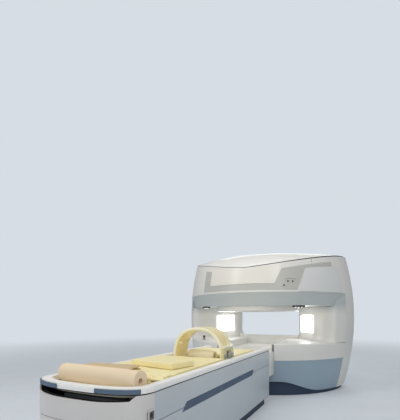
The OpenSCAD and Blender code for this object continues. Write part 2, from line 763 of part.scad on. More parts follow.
// Way out for the tabletop at the head end
module head_gate() {
    translate([-cradle_half - 3, head_y - rim_w - 20, cradle_z - 4]) cube([2 * cradle_half + 6, 200, 400]);
}
module tub_liner() {
    color("darkgray") difference() {
        table_ring(panel_wall + slip + 3, panel_wall + slip + 7, liner_z, seal_z);
        slot_dip();
        head_gate();
    }
}
module rim_seal() {
    color("dimgray") difference() {
        table_ring(4, 30, seal_z, seal_z + 6);
        head_gate();
    }
}
module table_rim() {
    color("white") difference() {
        union() {
            table_ring(0, rim_w, seal_z + 6, rim_z - 8);
            table_ring(5, rim_w, rim_z - 8, rim_z);
        }
        head_gate();
    }
}
grip_x = [140, 372];
module foot_grip() {
    intersection() {
        table_ring(-7, -fit, seal_z + 8, rim_z - 4);
        translate([grip_x[0], foot_y - 300, 0]) cube([grip_x[1] - grip_x[0], 400, 1000]);
    }
}
module foot_grips() {
    color("steelblue") {
        foot_grip();
        mirror([1, 0, 0]) foot_grip();
    }
}
// Lifting gear and frames
column_y = [foot_y + 595, head_y - 510];
column_w = 170;
floor_h = 50;
toe_in = 46;
toe_inner = table_half - toe_in - panel_wall;
frame_z = 515;
frame_h = 40;
rail_x = 240;
floor_rail_x = 250;
floor_rail_w = 80;
module table_floor_frame() {
    foot_end = foot_y + 95;
    head_end = head_y - 80;
    color("dimgray") {
        for (x = [-1, 1]) translate([x * floor_rail_x - floor_rail_w / 2, foot_end, 0])
            cube([floor_rail_w, head_end - foot_end, floor_h]);
        for (span = [[foot_y + foot_corner + 3, beam_w], [column_y[0] - 110, 220], [column_y[1] - 110, 220],
                [head_end - beam_w, beam_w]])
            translate([-toe_inner + fit, span[0], 0]) cube([2 * (toe_inner - fit), span[1], floor_h]);
    }
}
module toe_kick() { color("slategray") table_ring(toe_in, toe_in + panel_wall, 0, tub_z - 120); }
module lift_outer_columns() {
    color("gray") for (y = column_y) translate([-column_w / 2, y - column_w / 2, floor_h]) difference() {
        cube([column_w, column_w, 330]);
        translate([8, 8, 8]) cube([column_w - 16, column_w - 16, 400]);
    }
}
module lift_inner_columns() {
    w = column_w - 16 - 2 * guide_gap;
    color("silver") for (y = column_y) translate([-w / 2, y - w / 2, floor_h + 60]) difference() {
        cube([w, w, frame_z - floor_h - 60]);
        translate([10, 10, -1]) cube([w - 20, w - 20, frame_z - floor_h - 80]);
    }
}
module lift_frame() {
    foot_end = foot_y + 105;
    head_end = head_y - 60;
    reach = table_half - panel_wall - slip - 7 - fit;
    color("gray") translate([0, 0, frame_z]) {
        for (x = [-1, 1]) translate([x * rail_x - beam_w / 2, foot_end, 0])
            cube([beam_w, head_end - foot_end, frame_h]);
        for (span = [[foot_end, beam_w], [column_y[0] - 90, 180], [column_y[1] - 90, 180],
                [head_end - beam_w, beam_w]])
            translate([-rail_x + beam_w / 2, span[0], 0]) cube([2 * rail_x - beam_w, span[1], frame_h]);
        for (y = steps(foot_y + 245, head_y - 160, 2), x = [-1, 1])
            translate([x > 0 ? rail_x + beam_w / 2 : -reach, y, 0])
                cube([reach - rail_x - beam_w / 2, beam_w, frame_h]);
    }
}
rail_h = 34;
rail_w = 28;
module slide_rails() {
    color("silver") for (x = [-1, 1])
        translate([x * rail_x - rail_w / 2, foot_y + 115, frame_z + frame_h])
            cube([rail_w, head_y - foot_y - 155, rail_h]);
}
// Runners straddle the rails under the foot half of the tabletop
runner_y = [foot_y + 120, head_y - 85 - slide_travel];
module cradle_runners() {
    color("dimgray") for (x = [-1, 1]) translate([x * rail_x, runner_y[0], 0]) difference() {
        translate([-26, 0, frame_z + frame_h + 8])
            cube([52, runner_y[1] - runner_y[0], cradle_z - frame_z - frame_h - 8]);
        translate([-rail_w / 2 - guide_gap, -1, frame_z + frame_h])
            cube([rail_w + 2 * guide_gap, runner_y[1] - runner_y[0] + 2, rail_h + guide_gap]);
    }
}
module cradle_plan(d) {
    corner = 60;
    polygon(concat(
        [for (p = foot_curve(table_half - cradle_half + d)) p],
        bend([cradle_half - d, tabletop_end - corner], [cradle_half - d, tabletop_end - d],
            [cradle_half - corner - d, tabletop_end - d], 5),
        bend([-cradle_half + corner + d, tabletop_end - d], [-cradle_half + d, tabletop_end - d],
            [-cradle_half + d, tabletop_end - corner], 5)));
}
module cradle_board() {
    color("ivory") translate([0, 0, cradle_z]) linear_extrude(cradle_t) cradle_plan(0);
}
board_top = cradle_z + cradle_t;
// The long pad lies in two lengths, on each side of the coil
coil_slot = coil_len / 2 + 14;
pad_ends = [[foot_y + 295, coil_y - coil_slot], [coil_y + coil_slot, tabletop_end - 500]];
module table_pad() {
    half = cradle_half - 12;
    color("khaki") for (ends = pad_ends) translate([-half, ends[0], board_top])
        cube([2 * half, ends[1] - ends[0], pad_t]);
}
// Latch beside the right foot of the arch, with a hook over the arch's ledge
latch_x = coil_x + coil_half + 12 + 1;
latch_t = 10;
latch_w = 70;
pin_r = 3;
pin_z = board_top + 34;
hook_z = board_top + 92;
module coil_latch() {
    color("gray") translate([latch_x, coil_y, 0]) difference() {
        union() {
            translate([0, -latch_w / 2, pin_z + 2]) cube([latch_t, latch_w, hook_z - pin_z + 6]);
            translate([-10, -latch_w / 2, hook_z + 2]) cube([11, latch_w, 6]);
            translate([latch_t / 2, 0, pin_z]) rotate([90, 0, 0])
                cylinder(h = latch_w, r = latch_t / 2, center = true, $fn = 48);
        }
        translate([latch_t / 2, 0, pin_z]) rotate([90, 0, 0])
            cylinder(h = latch_w + 2, r = pin_r + fit, center = true, $fn = 48);
    }
}
// Receive coil: a flat base across the tabletop and an arch that stands on it
base_h = 12;
pedestal_h = 26;
module coil_base() {
    color("wheat") translate([0, coil_y, board_top]) {
        translate([-cradle_half + 12, -coil_len / 2 - 8, 0])
            cube([2 * cradle_half - 20, coil_len + 16, base_h]);
        for (x = [-1, 1]) translate([coil_x + x * (coil_half - 20) - 32, -coil_len / 2, base_h])
            cube([64, coil_len, pedestal_h]);
        // Ears and pin of the latch
        for (y = [-1, 1]) translate([latch_x, y * (latch_w / 2 + 6) - 4, base_h / 2])
            cube([latch_t, 8, pin_z - board_top]);
        translate([latch_x + latch_t / 2, 0, pin_z - board_top]) rotate([90, 0, 0])
            cylinder(h = latch_w + 12, r = pin_r, center = true, $fn = 48);
    }
}
arch_z = board_top + base_h + pedestal_h + fit;
function arch_curve(a, b, n) = [for (t = [0 : 9 : 180])
    [a * signed_pow(cos(t), 2 / n), b * signed_pow(sin(t), 2 / n)]];
module arch_section(d, h) {
    difference() {
        polygon(arch_curve(coil_half - d, h - d, 2.4));
        polygon(concat(arch_curve(coil_half - coil_wall + d, h - coil_wall + d, 2.4),
            [[-coil_half + coil_wall - d, -1], [coil_half - coil_wall + d, -1]]));
    }
}
module coil_arch() {
    h = coil_h - base_h - pedestal_h;
    color("wheat") translate([coil_x, coil_y, arch_z]) rotate([90, 0, 0]) {
        translate([0, 0, -coil_len / 2 + 26]) linear_extrude(coil_len - 52) arch_section(4, h);
        for (z = [-coil_len / 2, coil_len / 2 - 26]) translate([0, 0, z])
            linear_extrude(26) arch_section(0, h);
        // Two knobs inside the left wall
        for (z = [-60, 60]) translate([-coil_half + coil_wall - 2, 118, z]) rotate([0, 90, 0])
            cylinder(h = 28, r = 9, $fn = 48);
    }
    // Ledge that the latch holds
    color("wheat") translate([coil_x + coil_half - 12, coil_y - latch_w / 2 - 15, hook_z - 8])
        cube([18, latch_w + 30, 8]);
}
// Loose pads on the tabletop
pad_top = board_top + pad_t;
module head_roll() {
    color("khaki") translate([coil_x - 10, coil_y + 15, board_top + base_h + fit + roll_r - 6])
        rotate([0, 0, -16]) rotate([0, 90, 0]) difference() {
            cylinder(h = roll_len, r = roll_r, center = true);
            translate([roll_r - 6, -100, -roll_len]) cube([100, 200, 2 * roll_len]);
            translate([0, 0, roll_len / 2 - 20]) cylinder(h = 40, r = 9);
        }
}
block_at = [70, foot_y + 700];
module foam_block() {
    color("khaki") translate([block_at.x, block_at.y, pad_top + fit]) rotate([0, 0, -12])
        translate([-block_len / 2, -block_w / 2, 0]) cube([block_len, block_w, block_t]);
}
// The upper layer is a little shorter than the lower one
fold_at = [-125, foot_y + 355];
module folded_pad() {
    color("tan") translate([fold_at.x, fold_at.y, pad_top + fit]) rotate([0, 0, 6])
        translate([-fold_len / 2, -fold_w / 2, 0]) {
            cube([fold_len, fold_w, fold_t]);
            translate([0, 0, fold_t - 1]) cube([fold_len, 0.9 * fold_w, fold_t]);
        }
}
// Roll of couch paper on the bare foot end of the tabletop
paper_at = [0, foot_y + 130];
module paper_roll() {
    flat = 1;
    color("ivory") translate([paper_at.x, paper_at.y, board_top + fit + paper_r - flat]) rotate([0, 0, -4])
        rotate([0, 90, 0]) difference() {
            cylinder(h = paper_len, r = paper_r, center = true);
            translate([paper_r - flat, -100, -paper_len]) cube([100, 200, 2 * paper_len]);
            cylinder(h = paper_len + 2, r = paper_core, center = true);
        }
}

levelling_feet();
floor_plinth();
lower_yoke_plate();
upper_yoke_plate();
yoke_posts();
magnet_discs();
pole_pieces();
gradient_coils();
rf_coils();
lower_deck();
upper_pole_cover();
upper_ceiling();
upper_chamfer();
left_column_cover();
right_column_cover();
light_panels();
upper_front_shell();
left_lower_fascia();
right_lower_fascia();
lower_skirt();
left_side_shell();
right_side_shell();
rear_upper_cover();
rear_lower_cover();
top_cover();
fascia_inlay();
name_panel();
right_raised_panel();
light_button();
fan_button();
table_button();
dock_cover();
stop_button();
stop_ring();
skirt_panels();
lower_foot_cover();
side_stripes();
tub_panels();
upper_foot_cover();
side_socket();
tub_liner();
table_rim();
rim_seal();
foot_grips();
table_floor_frame();
toe_kick();
lift_outer_columns();
lift_inner_columns();
lift_frame();
slide_rails();
cradle_board();
cradle_runners();
table_pad();
coil_base();
coil_arch();
coil_latch();
head_roll();
foam_block();
folded_pad();
paper_roll();
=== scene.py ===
"""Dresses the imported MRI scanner: camera, studio, materials, soft pads, coil arch and trim. All in metres."""

import json
import math

import bmesh
import bpy
from mathutils import Matrix, Vector, noise

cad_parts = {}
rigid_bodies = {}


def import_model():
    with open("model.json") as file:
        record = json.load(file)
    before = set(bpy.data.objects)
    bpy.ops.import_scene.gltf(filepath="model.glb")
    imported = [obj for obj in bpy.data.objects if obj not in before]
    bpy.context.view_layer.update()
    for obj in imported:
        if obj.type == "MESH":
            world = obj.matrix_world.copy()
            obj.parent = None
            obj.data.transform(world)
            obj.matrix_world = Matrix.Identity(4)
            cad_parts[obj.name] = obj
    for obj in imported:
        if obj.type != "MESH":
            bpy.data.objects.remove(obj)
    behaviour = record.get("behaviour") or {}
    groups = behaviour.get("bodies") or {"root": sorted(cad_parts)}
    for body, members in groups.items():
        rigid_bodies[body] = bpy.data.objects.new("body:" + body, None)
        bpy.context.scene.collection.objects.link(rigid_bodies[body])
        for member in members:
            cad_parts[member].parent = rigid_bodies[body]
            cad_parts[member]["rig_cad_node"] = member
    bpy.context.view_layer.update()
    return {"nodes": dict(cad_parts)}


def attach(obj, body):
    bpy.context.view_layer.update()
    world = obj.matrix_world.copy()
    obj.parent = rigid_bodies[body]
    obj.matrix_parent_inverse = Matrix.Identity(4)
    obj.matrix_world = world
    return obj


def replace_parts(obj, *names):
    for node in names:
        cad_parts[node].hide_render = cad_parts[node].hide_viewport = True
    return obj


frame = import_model()
nodes = frame["nodes"]

# Sizes repeated from the part's source
HALF_WIDTH, WIDEST_Y, FRONT_DEPTH, REAR_DEPTH = 1.280, 0.620, 1.280, 0.280
FRONT_POWER, REAR_POWER = 1.8, 3.0
BELLY_Z, BARREL = 1.000, 0.150
BROW_Z, BROW_RISE, BROW_CURVE, CEILING_Z = 1.668, 0.220, 1.4, 1.170
BOARD_TOP, PAD_T, PAD_HALF = 0.618, 0.050, 0.326
PAD_FOOT_END, PAD_HEAD_END = -3.048, -1.202
COIL_X, COIL_Y, COIL_HALF, COIL_LEN, COIL_WALL = 0.055, -1.930, 0.250, 0.240, 0.030
TABLE_HALF, SOCKET_Y, SOCKET_Z = 0.400, -3.265, 0.508
BASE_H, ARCH_Z, ARCH_H, ARCH_POWER = 0.012, 0.6563, 0.274, 2.4
HOOK_Z = 0.710
FIT = 0.0003

# Limits of the shading and of the cloth simulation
SMOOTH_BELOW, BEVEL_ABOVE = 34, 38
WELD_REACH = 0.00002
CLOTH_FRAMES = 20


# ---------------------------------------------------------------- camera and studio
def linear(rgb):
    """Linear values of a colour given in 0 to 255."""
    return tuple((c / 255 / 12.92) if c / 255 <= 0.04045 else ((c / 255 + 0.055) / 1.055) ** 2.4 for c in rgb)


def make_camera():
    data = bpy.data.cameras.new("photo_camera")
    data.sensor_width = 36
    data.lens = 28.46
    data.shift_y = 0.2533
    camera = bpy.data.objects.new("photo_camera", data)
    camera.location = (1.40, -4.72, 1.03)
    camera.rotation_euler = (math.radians(90), 0, math.radians(26.2))
    bpy.context.scene.collection.objects.link(camera)
    bpy.context.scene.camera = camera


def area_light(name, place, target, size, power, colour=(1, 1, 1)):
    data = bpy.data.lights.new(name, "AREA")
    data.shape = "RECTANGLE"
    data.size, data.size_y = size
    data.energy = power
    data.color = colour
    lamp = bpy.data.objects.new(name, data)
    lamp.location = place
    lamp.rotation_euler = (Vector(target) - Vector(place)).to_track_quat("-Z", "Y").to_euler()
    bpy.context.scene.collection.objects.link(lamp)


BACKDROP = (214, 221, 228)


def floor_material():
    """Pale floor that keeps the shadows near the object and turns into the backdrop far off."""
    material = plastic("floor_pale", (214, 220, 226), rough=0.6, grain=60, bump=0.02, coat=0.0)
    tree = material.node_tree
    new, link = tree.nodes.new, tree.links.new
    glow, mix = new("ShaderNodeEmission"), new("ShaderNodeMixShader")
    path, far = new("ShaderNodeLightPath"), new("ShaderNodeMath")
    glow.inputs["Color"].default_value = (*linear(BACKDROP), 1)
    length, place = new("ShaderNodeVectorMath"), new("ShaderNodeTexCoord")
    length.operation = "LENGTH"
    link(place.outputs["Object"], length.inputs[0])
    reach = spread(tree, length.outputs["Value"], 0.25, 1.0, 3.5, 12.0)
    far.operation = "MULTIPLY"
    link(reach, far.inputs[0])
    link(path.outputs["Is Camera Ray"], far.inputs[1])
    out = tree.nodes["Material Output"]
    link(far.outputs[0], mix.inputs["Fac"])
    link(tree.nodes["Principled BSDF"].outputs[0], mix.inputs[1])
    link(glow.outputs[0], mix.inputs[2])
    link(mix.outputs[0], out.inputs["Surface"])
    return material


def make_studio():
    scene = bpy.context.scene
    scene.view_settings.view_transform = "Standard"
    world = bpy.data.worlds.new("studio")
    world.use_nodes = True
    tree = world.node_tree
    tree.nodes.clear()
    out = tree.nodes.new("ShaderNodeOutputWorld")
    lit, seen, mix = (tree.nodes.new(k) for k in
                      ("ShaderNodeBackground", "ShaderNodeBackground", "ShaderNodeMixShader"))
    lit.inputs["Color"].default_value = (0.93, 0.96, 1.0, 1)
    lit.inputs["Strength"].default_value = 0.40
    seen.inputs["Color"].default_value = (*linear(BACKDROP), 1)
    seen.inputs["Strength"].default_value = 1
    path = tree.nodes.new("ShaderNodeLightPath")
    tree.links.new(path.outputs["Is Camera Ray"], mix.inputs["Fac"])
    tree.links.new(lit.outputs[0], mix.inputs[1])
    tree.links.new(seen.outputs[0], mix.inputs[2])
    tree.links.new(mix.outputs[0], out.inputs["Surface"])
    scene.world = world

    mesh = bpy.data.meshes.new("floor")
    mesh.from_pydata([(-30, -30, 0), (30, -30, 0), (30, 30, 0), (-30, 30, 0)], [], [(0, 1, 2, 3)])
    floor = bpy.data.objects.new("floor", mesh)
    scene.collection.objects.link(floor)
    mesh.materials.append(floor_material())

    area_light("ceiling_strip_left", (-1.6, -2.6, 4.2), (-0.2, -0.9, 0.8), (0.8, 6.5), 66, (1.0, 0.98, 0.95))
    area_light("ceiling_strip_right", (1.7, -2.2, 4.2), (0.4, -0.4, 0.9), (0.8, 6.5), 52, (1.0, 0.98, 0.95))
    area_light("front_fill", (0.4, -8.0, 2.6), (0, -0.4, 0.9), (4.5, 2.5), 62, (0.95, 0.97, 1.0))
    area_light("rear_glow", (-0.6, 4.6, 3.4), (0, 0.4, 1.4), (4.0, 2.0), 45, (0.92, 0.96, 1.0))


# ---------------------------------------------------------------- materials
def new_material(name):
    material = bpy.data.materials.new(name)
    material.use_nodes = True
    tree = material.node_tree
    shader = tree.nodes["Principled BSDF"]
    place = tree.nodes.new("ShaderNodeTexCoord")
    return material, tree, shader, place.outputs["Object"]


def noise_node(tree, place, scale, detail=4, stretch=None):
    node = tree.nodes.new("ShaderNodeTexNoise")
    node.inputs["Scale"].default_value = scale
    node.inputs["Detail"].default_value = detail
    if stretch:
        mapping = tree.nodes.new("ShaderNodeMapping")
        mapping.inputs["Scale"].default_value = stretch
        tree.links.new(place, mapping.inputs["Vector"])
        place = mapping.outputs["Vector"]
    tree.links.new(place, node.inputs["Vector"])
    return node.outputs["Fac"]


def spread(tree, value, low, high, start=0.3, end=0.7):
    """Maps a noise value between start and end to low and high."""
    node = tree.nodes.new("ShaderNodeMapRange")
    for key, number in (("From Min", start), ("From Max", end), ("To Min", low), ("To Max", high)):
        node.inputs[key].default_value = number
    tree.links.new(value, node.inputs["Value"])
    return node.outputs["Result"]


def tinted(tree, value, dark, light):
    ramp = tree.nodes.new("ShaderNodeValToRGB")
    ramp.color_ramp.elements[0].position = 0.25
    ramp.color_ramp.elements[1].position = 0.75
    ramp.color_ramp.elements[0].color = (*dark, 1)
    ramp.color_ramp.elements[1].color = (*light, 1)
    tree.links.new(value, ramp.inputs["Fac"])
    return ramp.outputs["Color"]


def bump_node(tree, height, strength, distance, below=None):
    node = tree.nodes.new("ShaderNodeBump")
    node.inputs["Strength"].default_value = strength
    node.inputs["Distance"].default_value = distance
    tree.links.new(height, node.inputs["Height"])
    if below:
        tree.links.new(below, node.inputs["Normal"])
    return node.outputs["Normal"]


def shade(rgb, factor):
    return tuple(min(1, c * factor) for c in linear(rgb))


def plastic(name, rgb, rough=0.38, grain=420, bump=0.04, coat=0.25, vary=0.04):
    """Moulded or painted plastic: slight cloudiness, orange peel, handled and cleaned patches."""
    material, tree, shader, place = new_material(name)
    clouds = noise_node(tree, place, 2.3, 5)
    colour = tinted(tree, clouds, shade(rgb, 1 - vary), shade(rgb, 1 + vary * 0.6))
    tree.links.new(colour, shader.inputs["Base Color"])
    smears = noise_node(tree, place, 7, 8, (1, 1, 2.5))
    tree.links.new(spread(tree, smears, rough * 0.92, rough * 1.1), shader.inputs["Roughness"])
    peel = noise_node(tree, place, grain, 2)
    tree.links.new(bump_node(tree, peel, bump, 0.0003), shader.inputs["Normal"])
    shader.inputs["Coat Weight"].default_value = coat
    shader.inputs["Coat Roughness"].default_value = 0.18
    return material


def shaded_top_plastic(name, low_rgb, shade_rgb, z0, z1):
    """Moulded plastic with painted shade: its colour darkens with height, as the shade falls where a column
    runs into the housing above it.
    """
    material = plastic(name, low_rgb)
    tree = material.node_tree
    shader = tree.nodes["Principled BSDF"]
    place, split, mix = (tree.nodes.new(k) for k in
                         ("ShaderNodeTexCoord", "ShaderNodeSeparateXYZ", "ShaderNodeMix"))
    mix.data_type = "RGBA"
    tree.links.new(place.outputs["Object"], split.inputs[0])
    tree.links.new(spread(tree, split.outputs["Z"], 0, 1, z0, z1), mix.inputs["Factor"])
    tree.links.new(shader.inputs["Base Color"].links[0].from_socket, mix.inputs[6])
    mix.inputs[7].default_value = (*linear(shade_rgb), 1)
    tree.links.new(mix.outputs[2], shader.inputs["Base Color"])
    return material


def textured_plastic(name, rgb, rough=0.55):
    """Grained plastic with a fine leather-like cell pattern."""
    material, tree, shader, place = new_material(name)
    clouds = noise_node(tree, place, 3.1, 4)
    tree.links.new(tinted(tree, clouds, shade(rgb, 0.9), shade(rgb, 1.08)), shader.inputs["Base Color"])
    cells = tree.nodes.new("ShaderNodeTexVoronoi")
    cells.inputs["Scale"].default_value = 380
    tree.links.new(place, cells.inputs["Vector"])
    tree.links.new(bump_node(tree, cells.outputs["Distance"], 0.35, 0.0005), shader.inputs["Normal"])
    smears = noise_node(tree, place, 12, 6)
    tree.links.new(spread(tree, smears, rough * 0.85, rough * 1.15), shader.inputs["Roughness"])
    return material


def vinyl(name, rgb, rough=0.45):
    """Coated cloth over foam: fine grain, soft creases, a little sheen."""
    material, tree, shader, place = new_material(name)
    clouds = noise_node(tree, place, 5, 6)
    tree.links.new(tinted(tree, clouds, shade(rgb, 0.96), shade(rgb, 1.02)), shader.inputs["Base Color"])
    cells = tree.nodes.new("ShaderNodeTexVoronoi")
    cells.feature = "DISTANCE_TO_EDGE"
    cells.inputs["Scale"].default_value = 420
    tree.links.new(place, cells.inputs["Vector"])
    grain = bump_node(tree, cells.outputs["Distance"], 0.25, 0.0006)
    creases = noise_node(tree, place, 14, 5, (1, 0.45, 1))
    tree.links.new(bump_node(tree, creases, 0.22, 0.006, grain), shader.inputs["Normal"])
    smears = noise_node(tree, place, 20, 4)
    tree.links.new(spread(tree, smears, rough * 0.8, rough * 1.25), shader.inputs["Roughness"])
    shader.inputs["Sheen Weight"].default_value = 0.12
    shader.inputs["Sheen Roughness"].default_value = 0.5
    return material


def metal(name, rgb, rough=0.32):
    """Machined metal with fine drawn lines."""
    material, tree, shader, place = new_material(name)
    lines = noise_node(tree, place, 60, 6, (1, 1, 30))
    tree.links.new(tinted(tree, lines, shade(rgb, 0.86), shade(rgb, 1.05)), shader.inputs["Base Color"])
    tree.links.new(spread(tree, lines, rough * 0.75, rough * 1.3), shader.inputs["Roughness"])
    tree.links.new(bump_node(tree, lines, 0.08, 0.0005), shader.inputs["Normal"])
    shader.inputs["Metallic"].default_value = 1
    return material


def rubber(name, rgb, rough=0.7):
    material, tree, shader, place = new_material(name)
    dust = noise_node(tree, place, 25, 8)
    tree.links.new(tinted(tree, dust, shade(rgb, 0.8), shade(rgb, 1.25)), shader.inputs["Base Color"])
    tree.links.new(spread(tree, dust, rough * 0.85, min(1, rough * 1.15)), shader.inputs["Roughness"])
    tree.links.new(bump_node(tree, noise_node(tree, place, 600, 2), 0.2, 0.0004), shader.inputs["Normal"])
    return material


def lit_diffuser(name, strength):
    """Backlit frosted sheet: the lamps behind it show as a faint unevenness."""
    material, tree, shader, place = new_material(name)
    tree.links.new(tinted(tree, noise_node(tree, place, 9, 2), (0.90, 0.93, 0.97), (1, 1, 1)),
                   shader.inputs["Emission Color"])
    shader.inputs["Emission Strength"].default_value = strength
    shader.inputs["Base Color"].default_value = (0.9, 0.92, 0.95, 1)
    frost = noise_node(tree, place, 700, 2)
    tree.links.new(spread(tree, frost, 0.4, 0.6), shader.inputs["Roughness"])
    tree.links.new(bump_node(tree, frost, 0.1, 0.0003), shader.inputs["Normal"])
    return material


# ---------------------------------------------------------------- mesh helpers
def smooth_by_angle():
    """A node group that shades smooth across every edge flatter than SMOOTH_BELOW degrees."""
    group = bpy.data.node_groups.new("smooth_by_angle", "GeometryNodeTree")
    group.interface.new_socket("Geometry", in_out="INPUT", socket_type="NodeSocketGeometry")
    group.interface.new_socket("Geometry", in_out="OUTPUT", socket_type="NodeSocketGeometry")
    new, link = group.nodes.new, group.links.new
    source, target = new("NodeGroupInput"), new("NodeGroupOutput")
    angle, compare = new("GeometryNodeInputMeshEdgeAngle"), new("FunctionNodeCompare")
    faces, edges = new("GeometryNodeSetShadeSmooth"), new("GeometryNodeSetShadeSmooth")
    compare.operation = "LESS_THAN"
    compare.inputs[1].default_value = math.radians(SMOOTH_BELOW)
    edges.domain = "EDGE"
    link(angle.outputs["Unsigned Angle"], compare.inputs[0])
    link(source.outputs[0], faces.inputs["Geometry"])
    link(faces.outputs[0], edges.inputs["Geometry"])
    link(compare.outputs[0], edges.inputs["Shade Smooth"])
    link(edges.outputs[0], target.inputs[0])
    return group


SMOOTH = smooth_by_angle()


def soften(obj, bevel=0.0):
    """Welds the faceted import, rounds its sharp edges and shades the rest smooth."""
    if obj.get("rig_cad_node"):
        weld = obj.modifiers.new("weld", "WELD")
        weld.merge_threshold = WELD_REACH
    if bevel:
        rounding = obj.modifiers.new("rounding", "BEVEL")
        rounding.width = bevel
        rounding.segments = 3
        rounding.limit_method = "ANGLE"
        rounding.angle_limit = math.radians(BEVEL_ABOVE)
        rounding.use_clamp_overlap = True
    obj.modifiers.new("smooth", "NODES").node_group = SMOOTH


def dress(names, material, bevel=0.0):
    for name in names.split():
        obj = nodes[name]
        obj.data.materials.clear()
        obj.data.materials.append(material)
        soften(obj, bevel)


def add_piece(name, mesh, material, body, bevel=0.0):
    obj = bpy.data.objects.new(name, mesh)
    bpy.context.scene.collection.objects.link(obj)
    mesh.materials.clear()
    mesh.materials.append(material)
    soften(obj, bevel)
    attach(obj, body)
    return obj


def mesh_from(name, build):
    """A mesh from a function that fills a bmesh."""
    work = bmesh.new()
    build(work)
    bmesh.ops.recalc_face_normals(work, faces=work.faces)
    mesh = bpy.data.meshes.new(name)
    work.to_mesh(mesh)
    work.free()
    return mesh


def swept(name, rings, caps=True):
    """A skin over closed rings of points."""
    def build(work):
        loops = [[work.verts.new(p) for p in ring] for ring in rings]
        count = len(rings[0])
        for a, b in zip(loops, loops[1:]):
            for j in range(count):
                k = (j + 1) % count
                work.faces.new((a[j], a[k], b[k], b[j]))
        if caps:
            work.faces.new(reversed(loops[0]))
            work.faces.new(loops[-1])
    return mesh_from(name, build)


# ---------------------------------------------------------------- the barrel surface
def signed_pow(value, exponent):
    return math.copysign(abs(value) ** exponent, value)


def barrel(z):
    return BARREL * (z - BELLY_Z) ** 2


def rim(angle, inset):
    s, c = math.sin(math.radians(angle)), math.cos(math.radians(angle))
    power, depth = (FRONT_POWER, FRONT_DEPTH) if s < 0 else (REAR_POWER, REAR_DEPTH)
    return ((HALF_WIDTH - inset) * signed_pow(c, 2 / power),
            WIDEST_Y + (depth - inset) * signed_pow(s, 2 / power))


def skin(angle, z, inset=0.0):
    x, y = rim(angle, barrel(z) + inset)
    return Vector((x, y, z))


def brow(angle):
    s = math.sin(math.radians(angle))
    return BROW_Z + BROW_RISE * ((abs(rim(angle, 0)[0]) / HALF_WIDTH) ** BROW_CURVE if s < 0 else 1)


def front_angle(x):
    return 270 + math.copysign(math.degrees(math.asin((abs(x) / HALF_WIDTH) ** (FRONT_POWER / 2))), x)


def strip_on_skin(name, line, half_width, proud, material, sunk=0.002):
    """A thin strip along a line of (angle, z), lying on the barrel surface."""
    rings = []
    for i, (angle, z) in enumerate(line):
        a, b = line[max(i - 1, 0)], line[min(i + 1, len(line) - 1)]
        along = skin(*b) - skin(*a)
        along.normalize()
        out = (skin(angle, z, -0.1) - skin(angle, z)).normalized()
        across = along.cross(out).normalized()
        h = half_width(i / (len(line) - 1)) if callable(half_width) else half_width
        p = skin(angle, z)
        rings.append([p - across * h - out * sunk, p - across * h + out * proud,
                      p + across * h + out * proud, p + across * h - out * sunk])
    return add_piece(name, swept(name, rings), material, "gantry")


# ---------------------------------------------------------------- soft pieces
def cage(name, size, inset, cells):
    """A closed block with edge loops near its edges, so that subdivision rounds them."""
    def stations(length, count):
        inner = [-length / 2 + inset + (length - 2 * inset) * i / count for i in range(count + 1)]
        return [-length / 2, *inner, length / 2]
    xs, ys, zs = (stations(s, c) for s, c in zip(size, cells))

    def build(work):
        bmesh.ops.create_cube(work, size=1)
        for axis, values in enumerate((xs, ys, zs)):
            for value in values[1:-1]:
                normal = [0, 0, 0]
                normal[axis] = 1
                place = [0, 0, 0]
                place[axis] = value / size[axis]
                geometry = work.verts[:] + work.edges[:] + work.faces[:]
                bmesh.ops.bisect_plane(work, geom=geometry, plane_co=place, plane_no=normal)
        bmesh.ops.scale(work, vec=size, verts=work.verts)
    return mesh_from(name, build)


def subdivided(mesh, levels):
    holder = bpy.data.objects.new("holder", mesh)
    bpy.context.scene.collection.objects.link(holder)
    modifier = holder.modifiers.new("subdivision", "SUBSURF")
    modifier.levels = levels
    graph = bpy.context.evaluated_depsgraph_get()
    result = bpy.data.meshes.new_from_object(holder.evaluated_get(graph))
    bpy.data.objects.remove(holder)
    return result


def inflated(mesh, voxel, pressure, cap):
    """The mesh remeshed and blown up by a cloth simulation, each point moving cap at most."""
    scene = bpy.context.scene
    holder = bpy.data.objects.new("holder", mesh)
    scene.collection.objects.link(holder)
    remesh = holder.modifiers.new("remesh", "REMESH")
    remesh.mode = "VOXEL"
    remesh.voxel_size = voxel
    graph = bpy.context.evaluated_depsgraph_get()
    rest = bpy.data.meshes.new_from_object(holder.evaluated_get(graph))
    bpy.data.objects.remove(holder)
    holder = bpy.data.objects.new("holder", rest)
    scene.collection.objects.link(holder)
    start = [v.co.copy() for v in rest.vertices]
    cloth = holder.modifiers.new("cloth", "CLOTH")
    cloth.settings.use_pressure = True
    cloth.settings.uniform_pressure_force = pressure
    cloth.settings.effector_weights.gravity = 0
    cloth.settings.quality = 5
    for step in range(1, CLOTH_FRAMES + 1):
        scene.frame_set(step)
    graph = bpy.context.evaluated_depsgraph_get()
    blown = bpy.data.meshes.new_from_object(holder.evaluated_get(graph))
    for point, before in zip(blown.vertices, start):
        move = point.co - before
        if move.length > cap:
            move *= cap / move.length
        point.co = before + move
    scene.frame_set(1)
    bpy.data.objects.remove(holder)
    return blown


def placed(mesh, centre, turn=0.0):
    mesh.transform(Matrix.Translation(centre) @ Matrix.Rotation(math.radians(turn), 4, "Z"))
    return mesh


def keep_above(mesh, z):
    """Presses the underside flat on what carries it."""
    for vertex in mesh.vertices:
        vertex.co.z = max(vertex.co.z, z)


def crease(mesh, depth, scale, seed, above):
    """Pushes shallow wrinkles into the faces that look up."""
    for vertex in mesh.vertices:
        if vertex.co.z > above:
            p = Vector((vertex.co.x * scale, vertex.co.y * scale * 0.6, seed))
            vertex.co.z -= depth * max(0.0, noise.fractal(p, 1.0, 2.0, 4) + 0.1)


